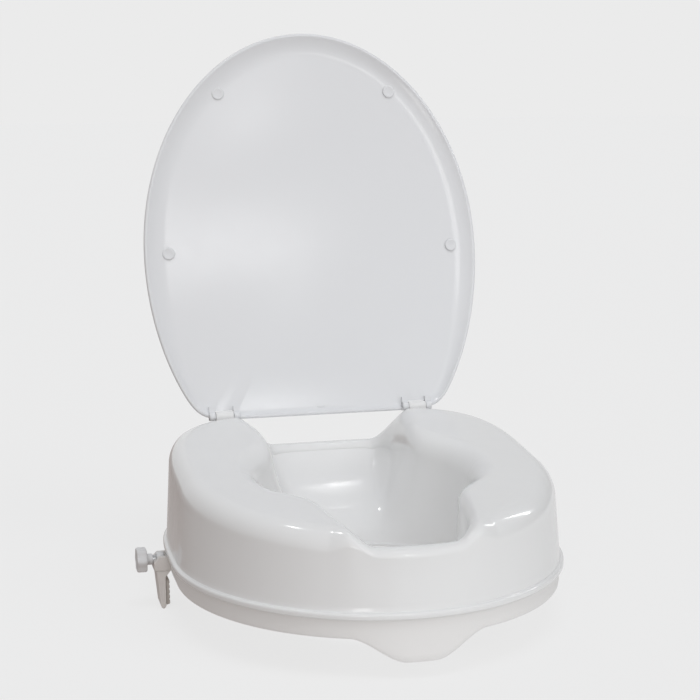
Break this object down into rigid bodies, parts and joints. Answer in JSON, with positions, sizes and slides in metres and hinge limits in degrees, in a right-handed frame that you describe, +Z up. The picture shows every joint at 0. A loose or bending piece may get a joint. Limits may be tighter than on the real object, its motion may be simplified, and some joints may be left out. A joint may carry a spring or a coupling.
{
  "type": "raised toilet seat",
  "caption": "Raised toilet seat with a hinged lid, front and rear cut-outs, and side clamps whose hand knobs draw padded jaws onto the toilet pan.",
  "frame": {"origin": "centre of the plane in which the seat rests on the toilet pan's rim", "axes": "+Z up, -Y to the front of the toilet, +X across; the seat is the same on both sides of X = 0"},
  "size_m": [0.4308, 0.4842, 0.5569],
  "materials": {
    "seat_plastic": "gloss white moulding",
    "base_plastic": "satin warm white moulding",
    "lid_plastic": "satin cool white moulding",
    "clamp_plastic": "satin off-white moulding",
    "knob_plastic": "satin white moulding",
    "bumper": "soft translucent white",
    "pad_rubber": "matt grey rubber",
    "steel": "zinc-plated steel"
  },
  "bodies": {
    "seat": {"seat_shell": "seat_plastic", "base_ring": "base_plastic", "rest_pad_1": "pad_rubber", "rest_pad_2": "pad_rubber", "rest_pad_3": "pad_rubber", "rest_pad_4": "pad_rubber", "base_screw_1": "steel", "base_screw_2": "steel", "base_screw_3": "steel", "base_screw_4": "steel", "base_screw_5": "steel", "base_screw_6": "steel", "clamp_nut_left": "steel", "clamp_nut_right": "steel"},
    "lid": {"lid": "lid_plastic", "hinge_pin_left": "steel", "hinge_pin_right": "steel", "lid_bumper_rear_left": "bumper", "lid_bumper_rear_right": "bumper", "lid_bumper_front_left": "bumper", "lid_bumper_front_right": "bumper"},
    "clamp_left": {"clamp_bracket_left": "clamp_plastic", "grip_pad_left": "pad_rubber"},
    "knob_left": {"clamp_knob_left": "knob_plastic", "retaining_collar_left": "knob_plastic", "clamp_screw_left": "steel"},
    "clamp_right": {"clamp_bracket_right": "clamp_plastic", "grip_pad_right": "pad_rubber"},
    "knob_right": {"clamp_knob_right": "knob_plastic", "retaining_collar_right": "knob_plastic", "clamp_screw_right": "steel"}
  },
  "joints": [
    {"name": "lid_hinge", "type": "hinge", "parent": "seat", "child": "lid", "pos_m": [0, 0.1935, 0.1245], "axis": [1, 0, 0], "range_deg": [0, 105.8]},
    {"name": "clamp_left_slide", "type": "slide", "parent": "seat", "child": "clamp_left", "axis": [1, 0, 0], "range_m": [-0.006, 0.014]},
    {"name": "knob_left_turn", "type": "hinge", "parent": "clamp_left", "child": "knob_left", "pos_m": [-0.21, 0.066, 0.0105], "axis": [1, 0, 0], "range_deg": [-1080, 2520]},
    {"name": "clamp_right_slide", "type": "slide", "parent": "seat", "child": "clamp_right", "axis": [-1, 0, 0], "range_m": [-0.006, 0.014]},
    {"name": "knob_right_turn", "type": "hinge", "parent": "clamp_right", "child": "knob_right", "pos_m": [0.21, 0.066, 0.0105], "axis": [-1, 0, 0], "range_deg": [-1080, 2520]}
  ],
  "couplings": [
    {"joint": "knob_left_turn", "follows": "clamp_left_slide", "rad_per_m": 3141.6},
    {"joint": "knob_right_turn", "follows": "clamp_right_slide", "rad_per_m": 3141.6}
  ]
}
